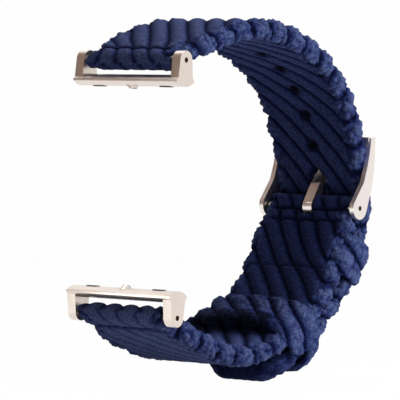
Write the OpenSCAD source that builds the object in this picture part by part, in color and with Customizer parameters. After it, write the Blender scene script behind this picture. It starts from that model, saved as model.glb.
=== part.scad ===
// Corduroy watch band, buckled into its loop, with slide-in adapters and a pin buckle.
// X runs across the band, Y from the adapters back to the buckle, Z up.
// The origin is the middle of the loop that goes round the wrist.

/* [Loop] */
// Distance between the two spring bars
bar_span = 47; // [45:0.5:50]
// Distance from the spring bars back to the buckle's bar
clasp_depth = 56.1; // [54:0.1:60]
// Drop of the buckle's bar below the upper spring bar
clasp_drop = 26.3; // [25.3:0.1:28]
// Rise of the long strap above the upper spring bar
crown_rise = 7.1; // [6:0.1:8]
// Sag of the short strap below the lower spring bar
belly_drop = 7.4; // [6.5:0.25:8.5]
// Length of the long strap that runs on past the buckle's bar
overlap = 37; // [36:0.5:39]
// How far the loose tip hangs away from the strap under it
tip_droop = 3.1; // [1.2:0.1:3.3]

/* [Cloth] */
// Width of both straps
strap_w = 23.6; // [22:0.2:24.4]
// How much narrower the long strap is where it passes through the buckle
narrowing = 2.7; // [2.4:0.1:5]
// Thickness of a strap over its wales
strap_t = 4; // [3.8:0.1:4.4]
// Spacing of the wales, square to them
wale_pitch = 3.9; // [3.2:0.1:4.6]
// Slant of the wales from the length of the strap
wale_slant = 45; // [35:1:50]
// Depth of the grooves between wales
wale_depth = 0.7; // [0.3:0.05:0.9]
// Length of the rounded tip
tip_l = 7; // [5:0.5:10]

/* [Holes] */
// Diameter of the punched holes
hole_d = 2.2; // [1.8:0.1:2.6]
// Spacing of the punched holes
hole_pitch = 6.7; // [6:0.1:7.5]
// Number of holes besides the one in use
free_holes = 5; // [3:1:6]

/* [Adapters] */
// How far the rail is longer than the straps are wide
rail_excess = 1.4; // [1:0.1:2.4]
// Breadth of the rail
rail_w = 5.4; // [4.8:0.1:6]
// Height of the rail
rail_h = 2.2; // [2:0.05:2.6]
// Height of the spring bar above the middle of the rail
bar_rise = 3.8; // [3.7:0.05:4.4]
// Thickness of each ear
ear_t = 1.9; // [1.6:0.1:2.2]
// Radius of each ear's round end
ear_r = 1.7; // [1.6:0.05:2]
// Diameter of the lock's pocket in the rail
lock_pocket_d = 2.6; // [2.4:0.05:3]
// Travel of the lock's button
lock_travel = 0.4; // [0.3:0.05:0.45]
// Thickness of the ring that keeps the button in
lock_collar_t = 0.4; // [0.3:0.05:0.5]
// Distance of each rubber pad from the middle of the rail
pad_x = 8; // [6.5:0.25:9]

/* [Spring bars] */
// Outer diameter of the tube
tube_d = 1.5; // [1.5:0.05:1.8]
// Bore of the tube
tube_bore_d = 1.1; // [1.05:0.02:1.14]
// Diameter of a pin's tip
pin_d = 0.9; // [0.8:0.02:0.94]
// Length of a pin's tip inside its hole
pin_reach = 0.8; // [0.6:0.05:1.2]
// Length of the head that keeps a pin in the tube
pin_head_l = 0.8; // [0.6:0.05:1.2]
// Length of the tube's narrowed end
neck_l = 0.6; // [0.5:0.05:1]
// Wire of the spring in the tube
wire_d = 0.16; // [0.12:0.01:0.2]

/* [Buckle] */
// Thickness of each leg
leg_t = 1; // [0.9:0.1:1.4]
// Radius of a leg's eye
eye_r = 2.2; // [2:0.1:2.4]
// Distance along the strap from the bar to the crossbar
frame_reach = 12.8; // [12:0.2:14]
// Thickness of the crossbar
cross_t = 1.4; // [1.3:0.1:2]
// Breadth of the crossbar along the strap
cross_w = 2.2; // [1.9:0.1:2.8]
// Outward bow of the crossbar at its middle
cross_bow = 0.7; // [0.3:0.1:1.2]
// Width of the tongue
tongue_w = 2.2; // [1.8:0.1:2.6]
// Thickness of the tongue
tongue_t = 1.3; // [1.1:0.1:1.5]

/* [Keepers] */
// Thickness of a keeper's cloth
keeper_t = 1; // [0.9:0.05:1.3]
// Width of the fixed keeper along the strap
fixed_keeper_w = 8; // [7:0.5:9]
// Distance from the buckle's bar to the middle of the fixed keeper
fixed_keeper_at = 9.25; // [9:0.25:11]
// Width of the free keeper along the strap
free_keeper_w = 8.5; // [8:0.5:10]
// Distance from the buckle's bar to the middle of the free keeper
free_keeper_at = 29; // [28:0.5:30]
// How far the free keeper bulges away from the inner face
keeper_bulge = 0.9; // [0.5:0.1:1.4]

/* [Hidden] */
$fn = 48;

navy = [0.13, 0.18, 0.36];
silver = [0.86, 0.82, 0.78];
steel = [0.66, 0.66, 0.68];
black_rubber = [0.12, 0.12, 0.13];

// Clearances
fold_side_gap = 0.4;     // between a folded strap end and the metal beside it
layer_gap = 0.2;         // between cloth layers that lie on each other
keeper_side_gap = 0.4;   // between a keeper and the edges of the strap in it
free_gap = 0.3;          // between the free keeper and the straps it slides on
run_gap = 0.05;          // radial gap of a pin or tube in its hole
end_gap = 0.3;           // between the end of a tube and the metal beside it
frame_side_gap = 0.2;    // between the buckle's legs and the strap between them
pass_gap = 0.6;          // between the folded end on the buckle's bar and the strap that passes it
cross_gap = 0.15;        // between the crossbar and the strap under it
rest_gap = 0.15;         // between the tongue and the crossbar that it rests on
tongue_gap = 0.55;       // between the tongue and the hole that it goes through
slot_gap = 0.35;         // between the tongue's hub and the slot in the folded end
head_gap = 0.03;         // radial gap of a pin's head in the tube
spring_gap = 0.05;       // between a spring and what it presses on
swing = 8;               // the most that buckle and tongue can lift together, in degrees

// Places of the bars
bar_y = -clasp_depth / 2;
upper_bar = [bar_y, bar_span / 2];
lower_bar = [bar_y, -bar_span / 2];
clasp_bar = [clasp_depth / 2, bar_span / 2 - clasp_drop];

// Widths that follow from one another
tip_w = strap_w - narrowing;
rail_l = strap_w + rail_excess;
ear_gap = rail_l - 2 * ear_t;
adapter_fold_w = ear_gap - 2 * fold_side_gap;
frame_in = tip_w + 2 * frame_side_gap;
frame_out = frame_in + 2 * leg_t;
buckle_fold_w = frame_in - 2 * fold_side_gap;
strap_r = strap_t / 2;
stack = strap_t + keeper_t + 2 * layer_gap;

// Curves through key points, measured along their length
spline_steps = 8;
half_step = 0.5;
function catmull(a, b, c, d, t) =
    0.5 * (2 * b + (c - a) * t + (2 * a - 5 * b + 4 * c - d) * t * t + (3 * b - a - 3 * c + d) * t * t * t);
function spline(keys) =
    let (last = len(keys) - 1)
    concat(
        [for (i = [0 : last - 1], k = [0 : spline_steps - 1])
            catmull(keys[max(i - 1, 0)], keys[i], keys[i + 1], keys[min(i + 2, last)], k / spline_steps)],
        [keys[last]]);
function lengths(pts) =
    [for (i = 0, s = 0; i < len(pts); s = s + (i + 1 < len(pts) ? norm(pts[i + 1] - pts[i]) : 0), i = i + 1) s];
// A path is a table of Y, a table of Z and its length
function path_through(keys) =
    let (pts = spline(keys), run = lengths(pts), n = len(pts) - 1)
    [[for (i = [0 : n]) [run[i], pts[i][0]]], [for (i = [0 : n]) [run[i], pts[i][1]]], run[n]];
function spot(path, s) = [lookup(s, path[0]), lookup(s, path[1])];
function heading(path, s) =
    let (mid = min(max(s, half_step), path[2] - half_step), d = spot(path, mid + half_step) - spot(path, mid - half_step))
    atan2(d[1], d[0]);
// A point beside the path: u across the band, lift away from the wrist
function beside(path, s, u, lift) =
    let (t = heading(path, s), on = min(max(s, 0), path[2]), p = spot(path, on))
    [u, p[0] + (s - on) * cos(t) - lift * sin(t), p[1] + (s - on) * sin(t) + lift * cos(t)];
function side_of(p) = [p[1], p[2]];
module at_path(path, s) {
    p = side_of(beside(path, s, 0, 0));
    translate([0, p[0], p[1]]) rotate([heading(path, s), 0, 0]) children();
}

// The short strap runs from the buckle's bar down and forward to the lower spring bar.
// Each key is a share of the depth, of the rise to the buckle's bar, and of the sag.
short_keys = [
    [1, 1, 0], [0.94, 0.63, 0.05], [0.86, 0.314, 0.17], [0.728, 0.09, 0.47],
    [0.564, 0, 0.8], [0.373, 0, 1], [0.176, 0, 0.63], [0, 0, 0]
];
clasp_rise = bar_span - clasp_drop;
short_path = path_through([for (k = short_keys)
    [bar_y + clasp_depth * k[0], lower_bar[1] + clasp_rise * k[1] - belly_drop * k[2]]]);

// The long strap runs over the top to the buckle, then on outside the short strap.
// Each key is a share of the depth, of the crown's rise, and of the drop to the buckle's bar.
long_keys = [
    [0, 0, 0], [0.16, 0.51, 0], [0.337, 0.92, 0], [0.515, 1, 0.005], [0.675, 0.92, 0.064],
    [0.8255, 0.75, 0.168], [0.945, 0.37, 0.306], [1.012, 0.1, 0.514], [1.05, 0, 0.737]
];
pass_point = [clasp_bar[0] + 2 * strap_r + pass_gap, clasp_bar[1]];
tail_steps = 12;
settle_start = 12;
settle_end = 24;
droop_power = 14;
function ease(t) = let (c = min(max(t, 0), 1)) c * c * (3 - 2 * c);
function tail_lift(s) = stack - (keeper_t + layer_gap) * ease((s - settle_start) / (settle_end - settle_start))
    + tip_droop * pow(s / overlap, droop_power);
tail_points = [for (k = [1 : tail_steps]) let (s = overlap * k / tail_steps)
    side_of(beside(short_path, s, 0, tail_lift(s)))];
long_front = [for (k = long_keys)
    [bar_y + clasp_depth * k[0], upper_bar[1] + crown_rise * k[1] - clasp_drop * k[2]]];
long_path = path_through(concat(long_front, [pass_point], tail_points));
pass_at = long_path[0][len(long_keys) * spline_steps][0];

// Cloth with wales: each row of facets leans across the strap, so a wale is a straight run of rows.
// The two faces lean opposite ways, and the edges join them.
wale_run = wale_pitch / sin(wale_slant);
rows_per_wale = 5;
columns = 6;
edge_turns = [45, 0, -45];

function end_round(s, from, to) =
    let (near = min(s - from, to - s, strap_r))
    near <= 0 ? 0 : sqrt(1 - pow(1 - near / strap_r, 2));
function groove(row) = 1 - abs(sin(180 * row / rows_per_wale));
function half_t(s, row, from, to) = end_round(s, from, to) * (strap_r - wale_depth * groove(row));

function strap_mesh(path, from, to, widths, tip) =
    let (
        n = round((to - from) / (wale_run / rows_per_wale)),
        step = (to - from) / n,
        lean = round(strap_w / 2 / tan(wale_slant) / step),
        rows = n + 2 * lean,
        half_w = function(s) lookup(s, widths) / 2
            * (tip && s > to - tip_l ? sqrt(1 - 0.8 * pow((s - to + tip_l) / tip_l, 2)) : 1),
        // The row of the outer face that meets an edge k steps along it; the inner face's is the other edge's
        edge_row = function(side, k) side > 0 ? k + 2 * lean : k,
        // side is 1 on the outer face and -1 on the inner face
        face_points = function(side) [for (r = [0 : rows], c = [0 : columns])
            let (
                v = 2 * c / columns - 1,
                s = min(max(from + (r - lean - side * lean * v) * step, from), to),
                h = half_t(s, r, from, to)
            )
            beside(path, s, v * (half_w(s) - h), side * h)],
        // side is 1 on the right edge and -1 on the left edge
        edge_points = function(side) [for (k = [0 : n], turn = edge_turns)
            let (
                s = from + k * step,
                h_out = half_t(s, edge_row(side, k), from, to),
                h_in = half_t(s, edge_row(-side, k), from, to),
                h = turn > 0 ? h_out : turn < 0 ? h_in : (h_out + h_in) / 2
            )
            beside(path, s, side * (half_w(s) - h + h * cos(turn)), h * sin(turn))],
        outer_at = 0,
        inner_at = (rows + 1) * (columns + 1),
        right_at = 2 * inner_at,
        left_at = right_at + (n + 1) * len(edge_turns),
        on_face = function(start, r, c) start + r * (columns + 1) + c,
        // Columns 0 to 4 of an edge go from the outer face to the inner face
        on_edge = function(side, k, j)
            let (start = side > 0 ? right_at : left_at, c = side > 0 ? columns : 0)
            j == 0 ? on_face(outer_at, edge_row(side, k), c)
            : j == len(edge_turns) + 1 ? on_face(inner_at, edge_row(-side, k), c)
            : start + k * len(edge_turns) + j - 1,
        points = concat(face_points(1), face_points(-1), edge_points(1), edge_points(-1)),
        quads = concat(
            [for (r = [0 : rows - 1], c = [0 : columns - 1])
                [on_face(outer_at, r, c), on_face(outer_at, r + 1, c),
                 on_face(outer_at, r + 1, c + 1), on_face(outer_at, r, c + 1)]],
            [for (r = [0 : rows - 1], c = [0 : columns - 1])
                [on_face(inner_at, r, c), on_face(inner_at, r, c + 1),
                 on_face(inner_at, r + 1, c + 1), on_face(inner_at, r + 1, c)]],
            [for (k = [0 : n - 1], j = [0 : len(edge_turns)])
                [on_edge(1, k, j), on_edge(1, k + 1, j), on_edge(1, k + 1, j + 1), on_edge(1, k, j + 1)]],
            [for (k = [0 : n - 1], j = [0 : len(edge_turns)])
                [on_edge(-1, k, j), on_edge(-1, k, j + 1), on_edge(-1, k + 1, j + 1), on_edge(-1, k + 1, j)]]),
        triangles = [for (q = quads, t = [[q[0], q[1], q[2]], [q[0], q[2], q[3]]])
            if (points[t[0]] != points[t[1]] && points[t[1]] != points[t[2]] && points[t[2]] != points[t[0]]) t]
    )
    [points, triangles];

module strap_cloth(path, from, to, widths, tip) {
    mesh = strap_mesh(path, from, to, widths, tip);
    polyhedron(points = mesh[0], faces = mesh[1], convexity = 10);
}

module rod(place, r, length) {
    translate([0, place[0], place[1]]) rotate([0, 90, 0]) cylinder(r = r, h = length, center = true);
}
module profile_x(width) rotate([90, 0, 90]) linear_extrude(width, center = true) children();
// Two circles and the tangent lines between them
module link(a, ra, b, rb) {
    way = atan2(b[1] - a[1], b[0] - a[0]);
    open = acos((ra - rb) / norm(b - a));
    polygon([
        a + ra * [cos(way + open), sin(way + open)], b + rb * [cos(way + open), sin(way + open)],
        b + rb * [cos(way - open), sin(way - open)], a + ra * [cos(way - open), sin(way - open)]
    ]);
    translate(a) circle(ra);
    translate(b) circle(rb);
}

// Straps
bar_bore_r = tube_d / 2 + run_gap;
hub_wall = 1.1;
hub_r = tube_d / 2 + hub_wall;
fold_start = 2.8;
fold_end = 6.5;
buckle_fold_start = 2.4;
buckle_fold_end = 4.2;
fold_puff = 0.4;
taper_start = 25;
taper_end = 62;
module long_strap() {
    last = long_path[2];
    widths = [
        [fold_start, adapter_fold_w], [fold_end, strap_w],
        [taper_start, strap_w], [taper_end, tip_w], [last, tip_w]
    ];
    color(navy) difference() {
        strap_cloth(long_path, -strap_r, last, widths, true);
        rod(upper_bar, bar_bore_r, strap_w * 2);
        for (i = [1 : free_holes]) {
            at_path(long_path, hole_at - i * hole_pitch) cylinder(d = hole_d, h = strap_t * 2, center = true);
        }
        tongue_opening();
    }
}

slot_w = tongue_w + 2 * slot_gap;
slot_l = hub_r + slot_gap;
module short_strap() {
    last = short_path[2];
    widths = [
        [buckle_fold_start, buckle_fold_w], [buckle_fold_end, strap_w],
        [last - fold_end, strap_w], [last - fold_start, adapter_fold_w]
    ];
    color(navy) difference() {
        strap_cloth(short_path, -strap_r - fold_puff, last + strap_r, widths, false);
        rod(clasp_bar, bar_bore_r, strap_w * 2);
        rod(lower_bar, bar_bore_r, strap_w * 2);
        at_path(short_path, 0) translate([-slot_w / 2, -strap_t, -strap_t])
            cube([slot_w, strap_t + slot_l, 2 * strap_t]);
    }
}

// Keepers: a rounded band of cloth swept along the short strap and over the tail.
// A corner is [half width, lift, radius]; the outer ones lie over the tail, wherever it runs.
soft_corner = 0.4;
corner_steps = 4;
belly_steps = 6;
keeper_steps = 6;
function keeper_corner(corner, side, turn) =
    [for (k = [0 : corner_steps]) let (a = turn + 90 * k / corner_steps)
        [side * (corner[0] - corner[2]) + corner[2] * cos(a),
         corner[1] + (turn < 180 ? -1 : 1) * corner[2] + corner[2] * sin(a)]];
function keeper_section(low, high, bulge) =
    let (flat = low[0] - low[2])
    concat(
        keeper_corner(high, 1, 0), keeper_corner(high, -1, 90), keeper_corner(low, -1, 180),
        [for (k = [1 : belly_steps - 1]) let (v = 2 * k / belly_steps - 1)
            [v * flat, low[1] - bulge * (1 - v * v)]],
        keeper_corner(low, 1, 270));
// One point for each place on the section, for each step along the strap
function keeper_skin(middle, width, low, high, bulge) =
    [for (k = [0 : keeper_steps])
        let (s = middle + width * (k / keeper_steps - 0.5))
        for (p = keeper_section(low, high + [0, tail_lift(s), 0], bulge)) beside(short_path, s, p[0], p[1])];
module keeper(middle, width, low, high, bulge) {
    grow = [keeper_t, keeper_t, keeper_t];
    inner = keeper_skin(middle, width, low, high, bulge);
    outer = keeper_skin(middle, width, low + [keeper_t, -keeper_t, keeper_t], high + grow, bulge);
    n = len(inner) / (keeper_steps + 1);
    shift = len(inner);
    end = keeper_steps * n;
    quads = concat(
        [for (k = [0 : keeper_steps - 1], i = [0 : n - 1]) let (a = k * n, j = (i + 1) % n)
            [a + i, a + j, a + n + j, a + n + i]],
        [for (k = [0 : keeper_steps - 1], i = [0 : n - 1]) let (a = shift + k * n, j = (i + 1) % n)
            [a + i, a + n + i, a + n + j, a + j]],
        [for (i = [0 : n - 1]) let (j = (i + 1) % n) [i, shift + i, shift + j, j]],
        [for (i = [0 : n - 1]) let (j = (i + 1) % n) [end + i, end + j, shift + end + j, shift + end + i]]);
    triangles = [for (q = quads, t = [[q[0], q[1], q[2]], [q[0], q[2], q[3]]]) t];
    polyhedron(points = concat(outer, inner), faces = triangles, convexity = 10);
}
module fixed_keeper() {
    half_w = tip_w / 2 + keeper_side_gap;
    corner_r = strap_r + layer_gap / 2;
    color(navy) keeper(fixed_keeper_at, fixed_keeper_w,
        [half_w, strap_r + layer_gap / 2 + keeper_t, corner_r],
        [half_w, strap_r + layer_gap, corner_r], 0);
}
module free_keeper() {
    corner_r = strap_r + free_gap + soft_corner;
    color(navy) keeper(free_keeper_at, free_keeper_w,
        [strap_w / 2 + free_gap, -strap_r - free_gap, corner_r],
        [tip_w / 2 + keeper_side_gap, strap_r + free_gap, corner_r], keeper_bulge);
}

// Buckle: two curved legs and a bowed crossbar over the long strap
leg_x = (frame_in + leg_t) / 2;
bow_r = (leg_x * leg_x + cross_bow * cross_bow) / (2 * cross_bow);
bow_turn = asin(leg_x / bow_r);
flat_x = tip_w / 2 - strap_r;
flat_drop = bow_r - sqrt(bow_r * bow_r - flat_x * flat_x);
cross_at = pass_at - frame_reach;
cross_lift = strap_r + cross_gap + flat_drop + cross_t / 2;
cross_middle = side_of(beside(long_path, cross_at, 0, cross_lift));
cross_end = side_of(beside(long_path, cross_at, 0, cross_lift - cross_bow));
leg_run = cross_end - clasp_bar;
leg_way = leg_run / norm(leg_run);
leg_out = [leg_way[1], -leg_way[0]];
leg_bow = 1.05;
leg_low_r = 1.4;
leg_mid_r = 1.12;
leg_high_r = 0.85;
// Each place on a leg is [share of the way to the crossbar, how far out, radius]
leg_places = [
    [0, 0, eye_r], [0.36, leg_bow, leg_low_r], [0.62, 0.9 * leg_bow, leg_mid_r],
    [0.84, 0.5 * leg_bow, leg_high_r], [1.02, 0, cross_t / 2]
];
function leg_spot(place) = clasp_bar + place[0] * leg_run + place[1] * leg_out;
module buckle_frame() {
    color(silver) difference() {
        union() {
            for (side = [-1, 1]) {
                translate([side * leg_x, 0, 0]) profile_x(leg_t) for (i = [1 : len(leg_places) - 1]) {
                    link(leg_spot(leg_places[i - 1]), leg_places[i - 1][2], leg_spot(leg_places[i]), leg_places[i][2]);
                }
            }
            at_path(long_path, cross_at) translate([0, 0, cross_lift - bow_r]) rotate([90, 0, 0])
                rotate_extrude(angle = 2 * bow_turn, start = 90 - bow_turn, $fn = 96) translate([bow_r, 0]) {
                    for (end = [-1, 1]) translate([0, end * (cross_w - cross_t) / 2]) circle(cross_t / 2);
                    square([cross_t, cross_w - cross_t], center = true);
                }
        }
        rod(clasp_bar, pin_d / 2 + run_gap, 2 * frame_out);
    }
}

// The tongue: a hub on the bar and a straight shank up to the crossbar, with its tip on the bar's top.
// The hole in use lies where the shank crosses the strap.
tongue_past = 2.2;
tongue_before = cross_w / 2 + rest_gap;
tip_taper = 0.1;
wrap_share = 0.6;
cross_turn = heading(long_path, cross_at);
cross_way = [cos(cross_turn), sin(cross_turn)];
rest = cross_middle + ((cross_t + tongue_t) / 2 + rest_gap) * [-cross_way[1], cross_way[0]];
bend = rest + tongue_before * cross_way;
shank_way = (bend - clasp_bar) / norm(bend - clasp_bar);
tongue_front = [-shank_way[1], shank_way[0]];
function crossing(low, high, steps) =
    let (mid = (low + high) / 2)
    steps == 0 ? mid
    : (spot(long_path, mid) - clasp_bar) * tongue_front > 0 ? crossing(mid, high, steps - 1)
    : crossing(low, mid, steps - 1);
hole_at = crossing(cross_at, pass_at, 20);
module tongue_opening() {
    for (lift = [0 : swing / 2 : swing]) {
        translate([0, clasp_bar[0], clasp_bar[1]])
            rotate([atan2(shank_way[1], shank_way[0]) - 90 - lift, 0, 0])
                translate([0, 0, hub_r]) cylinder(r = tongue_w / 2 + tongue_gap, h = 4 * strap_t);
    }
}
module buckle_tongue() {
    tip = rest - tongue_past * cross_way;
    color(silver) difference() {
        union() {
            profile_x(tongue_w) {
                link(clasp_bar + wrap_share * (hub_r - tongue_t / 2) * tongue_front, tongue_t / 2, bend, tongue_t / 2);
                link(bend, tongue_t / 2, tip, tongue_t / 2 - tip_taper);
            }
            rod(clasp_bar, hub_r, tongue_w);
        }
        rod(clasp_bar, bar_bore_r, 2 * tongue_w);
    }
}

// Spring bars: a tube with narrowed ends, two headed pins and the spring between them
function tube_l(gap) = gap - 2 * end_gap;
module bar_tube(place, gap) {
    color(steel) difference() {
        rod(place, tube_d / 2, tube_l(gap));
        rod(place, tube_bore_d / 2, tube_l(gap) - 2 * neck_l);
        rod(place, pin_d / 2 + run_gap, 2 * gap);
    }
}
module bar_pin(place, gap, side) {
    shoulder = tube_l(gap) / 2 - neck_l - run_gap;
    color(steel) translate([0, place[0], place[1]]) rotate([0, side * 90, 0]) {
        translate([0, 0, shoulder]) cylinder(d = pin_d, h = gap / 2 + pin_reach - shoulder);
        translate([0, 0, shoulder - pin_head_l]) cylinder(r = tube_bore_d / 2 - head_gap, h = pin_head_l);
    }
}
// A round wire wound along X, as one tube
function coil_ring(t, turns, length, coil_r, wire_r, sides) =
    let (a = 360 * turns * t, x = length * (t - 0.5))
    [for (i = [0 : sides - 1])
        let (b = 360 * i / sides, r = coil_r + wire_r * cos(b))
        [x + wire_r * sin(b), r * cos(a), r * sin(a)]];
module coil(turns, length, coil_r, wire_r, sides) {
    steps_per_turn = 6;
    rings = turns * steps_per_turn;
    points = [for (k = [0 : rings], p = coil_ring(k / rings, turns, length - 2 * wire_r, coil_r, wire_r, sides)) p];
    faces = concat(
        [[for (i = [sides - 1 : -1 : 0]) i]],
        [for (k = [0 : rings - 1], i = [0 : sides - 1])
            let (a = k * sides, j = (i + 1) % sides)
            [a + i, a + j, a + sides + j, a + sides + i]],
        [[for (i = [0 : sides - 1]) rings * sides + i]]);
    triangles = [for (q = faces, k = [1 : len(q) - 2]) [q[0], q[k], q[k + 1]]];
    polyhedron(points = points, faces = triangles, convexity = 10);
}
bar_turns = 12;
module bar_spring(place, gap) {
    room = tube_l(gap) - 2 * (neck_l + run_gap + pin_head_l);
    color(steel) translate([0, place[0], place[1]])
        coil(bar_turns, room - 2 * spring_gap, tube_bore_d / 2 - spring_gap - wire_d / 2, wire_d / 2, 4);
}

// Adapters: a rail of lens section with two ears, and a sprung lock in its middle.
// up is 1 for the adapter above the opening and -1 for the one below it.
module adapter_frame(up) {
    bar = up > 0 ? upper_bar : lower_bar;
    translate([0, bar[0], bar[1] - up * bar_rise]) mirror([0, 0, up > 0 ? 0 : 1]) children();
}
button_step = 0.9;
button_d = lock_pocket_d - button_step;
button_rim = 0.2;
button_proud = 0.1;
flange_t = 0.35;
spring_rest = 0.35;
spring_wire_r = 0.07;
pocket_depth = lock_collar_t + flange_t + lock_travel + spring_rest;
pad_l = 3;
pad_w = 1.2;
pad_depth = 0.5;
pad_proud = 0.1;
rail_blunt = 0.5;
ear_inset = 0.6;
past = 1;
module lens() {
    lens_r = (rail_w * rail_w + rail_h * rail_h) / (4 * rail_h);
    intersection() {
        translate([0, lens_r - rail_h / 2]) circle(lens_r, $fn = 180);
        translate([0, rail_h / 2 - lens_r]) circle(lens_r, $fn = 180);
        square([rail_w - rail_blunt, rail_h * 2], center = true);
    }
}
module pad_shape(height) {
    linear_extrude(height) {
        for (end = [-1, 1]) translate([end * (pad_l - pad_w) / 2, 0]) circle(pad_w / 2);
        square([pad_l - pad_w, pad_w], center = true);
    }
}
module adapter(up) {
    color(silver) adapter_frame(up) difference() {
        union() {
            profile_x(rail_l) lens();
            for (side = [-1, 1]) {
                translate([side * (rail_l - ear_t) / 2, 0, 0]) profile_x(ear_t) intersection() {
                    link([0, 0], rail_w / 2 - ear_inset, [0, bar_rise], ear_r);
                    translate([-rail_w / 2, 0]) square([rail_w, bar_rise + ear_r]);
                }
            }
        }
        rod([0, bar_rise], pin_d / 2 + run_gap, 2 * rail_l);
        translate([0, 0, -rail_h / 2 - past]) cylinder(d = lock_pocket_d, h = pocket_depth + past);
        for (side = [-1, 1]) {
            translate([side * pad_x, 0, -rail_h / 2 - past]) pad_shape(past + pad_depth);
        }
    }
}
module lock_collar(up) {
    color(silver) adapter_frame(up) translate([0, 0, -rail_h / 2]) difference() {
        cylinder(d = lock_pocket_d, h = lock_collar_t);
        translate([0, 0, -past]) cylinder(d = button_d + 2 * run_gap, h = lock_collar_t + 2 * past);
    }
}
module lock_button(up) {
    proud = lock_travel + button_proud;
    color(silver) adapter_frame(up) translate([0, 0, -rail_h / 2]) {
        translate([0, 0, lock_collar_t]) cylinder(d = lock_pocket_d - 2 * run_gap, h = flange_t);
        translate([0, 0, button_rim - proud]) cylinder(d = button_d, h = lock_collar_t + proud - button_rim);
        translate([0, 0, -proud]) cylinder(d1 = button_d - 2 * button_rim, d2 = button_d, h = button_rim);
    }
}
module lock_spring(up) {
    low = lock_collar_t + flange_t;
    room = pocket_depth - low;
    color(steel) adapter_frame(up) translate([0, 0, -rail_h / 2 + low + room / 2]) rotate([0, 90, 0])
        coil(2, room - spring_gap, lock_pocket_d / 2 - 3 * run_gap - spring_wire_r, spring_wire_r, 4);
}
module rail_pads(up) {
    color(black_rubber) adapter_frame(up) for (side = [-1, 1]) {
        translate([side * pad_x, 0, -rail_h / 2 - pad_proud]) pad_shape(pad_depth + pad_proud);
    }
}

module upper_adapter() adapter(1);
module upper_lock_button() lock_button(1);
module upper_lock_spring() lock_spring(1);
module upper_lock_collar() lock_collar(1);
module upper_rail_pads() rail_pads(1);
module upper_bar_tube() bar_tube(upper_bar, ear_gap);
module upper_bar_pin_left() bar_pin(upper_bar, ear_gap, -1);
module upper_bar_pin_right() bar_pin(upper_bar, ear_gap, 1);
module upper_bar_spring() bar_spring(upper_bar, ear_gap);

module lower_adapter() adapter(-1);
module lower_lock_button() lock_button(-1);
module lower_lock_spring() lock_spring(-1);
module lower_lock_collar() lock_collar(-1);
module lower_rail_pads() rail_pads(-1);
module lower_bar_tube() bar_tube(lower_bar, ear_gap);
module lower_bar_pin_left() bar_pin(lower_bar, ear_gap, -1);
module lower_bar_pin_right() bar_pin(lower_bar, ear_gap, 1);
module lower_bar_spring() bar_spring(lower_bar, ear_gap);

module buckle_bar_tube() bar_tube(clasp_bar, frame_in);
module buckle_bar_pin_left() bar_pin(clasp_bar, frame_in, -1);
module buckle_bar_pin_right() bar_pin(clasp_bar, frame_in, 1);
module buckle_bar_spring() bar_spring(clasp_bar, frame_in);

long_strap();
short_strap();
fixed_keeper();
free_keeper();
buckle_frame();
buckle_tongue();
buckle_bar_tube();
buckle_bar_pin_left();
buckle_bar_pin_right();
buckle_bar_spring();
upper_adapter();
upper_lock_button();
upper_lock_spring();
upper_lock_collar();
upper_rail_pads();
upper_bar_tube();
upper_bar_pin_left();
upper_bar_pin_right();
upper_bar_spring();
lower_adapter();
lower_lock_button();
lower_lock_spring();
lower_lock_collar();
lower_rail_pads();
lower_bar_tube();
lower_bar_pin_left();
lower_bar_pin_right();
lower_bar_spring();
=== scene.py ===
# %% [markdown]
# # A corduroy watch band
# The band is a loop of thick corduroy: a long strap that comes over the top, a short strap that comes
# from below, a pin buckle that joins them and two keepers that hold the loose tail.
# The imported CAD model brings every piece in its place. It is loaded first and its box is kept,
# because the dressed band has to stay that size.

import math
from types import SimpleNamespace

import bmesh
import bpy
import numpy as np
from mathutils import Matrix, Vector, noise


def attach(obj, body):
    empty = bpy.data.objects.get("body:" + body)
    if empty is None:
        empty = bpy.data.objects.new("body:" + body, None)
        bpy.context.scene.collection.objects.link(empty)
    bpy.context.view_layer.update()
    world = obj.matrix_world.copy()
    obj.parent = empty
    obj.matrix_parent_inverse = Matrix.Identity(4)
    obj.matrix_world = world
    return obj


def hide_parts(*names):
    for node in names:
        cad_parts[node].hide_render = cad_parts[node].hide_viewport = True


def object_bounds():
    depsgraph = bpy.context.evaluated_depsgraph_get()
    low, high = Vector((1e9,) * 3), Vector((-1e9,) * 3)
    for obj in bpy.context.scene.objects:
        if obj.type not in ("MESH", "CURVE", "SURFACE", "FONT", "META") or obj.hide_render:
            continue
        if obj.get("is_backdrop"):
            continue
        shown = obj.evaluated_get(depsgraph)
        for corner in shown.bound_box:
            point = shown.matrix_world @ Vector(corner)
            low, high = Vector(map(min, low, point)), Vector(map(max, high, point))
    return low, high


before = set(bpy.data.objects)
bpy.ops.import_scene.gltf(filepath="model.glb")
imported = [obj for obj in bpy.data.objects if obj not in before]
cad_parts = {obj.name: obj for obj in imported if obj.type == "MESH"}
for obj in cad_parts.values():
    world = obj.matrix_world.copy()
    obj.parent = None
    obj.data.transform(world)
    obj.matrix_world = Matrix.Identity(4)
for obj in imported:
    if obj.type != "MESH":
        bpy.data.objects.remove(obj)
cad_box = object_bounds()
MM = 0.001

# %% [markdown]
# ## The camera
# The picture was taken from far away with a long lens, so both ears of an adapter look nearly the same
# size. A camera could be pointed by hand, but a fitted one is exact: it looks 39 degrees round the
# band, almost level and rolled a little. One known place, the outer end of the upper spring bar,
# is pinned to its pixel, and the rest follows.

# %% Camera
AZIMUTH, ELEVATION, ROLL = math.radians(39), math.radians(0.5), math.radians(2)
DISTANCE = 0.6
PICTURE, FOCAL, SENSOR = 400, 3300, 36
BAR_END, BAR_PIXEL = Vector((0.0124, -0.02805, 0.0235)), (186, 60)

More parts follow.
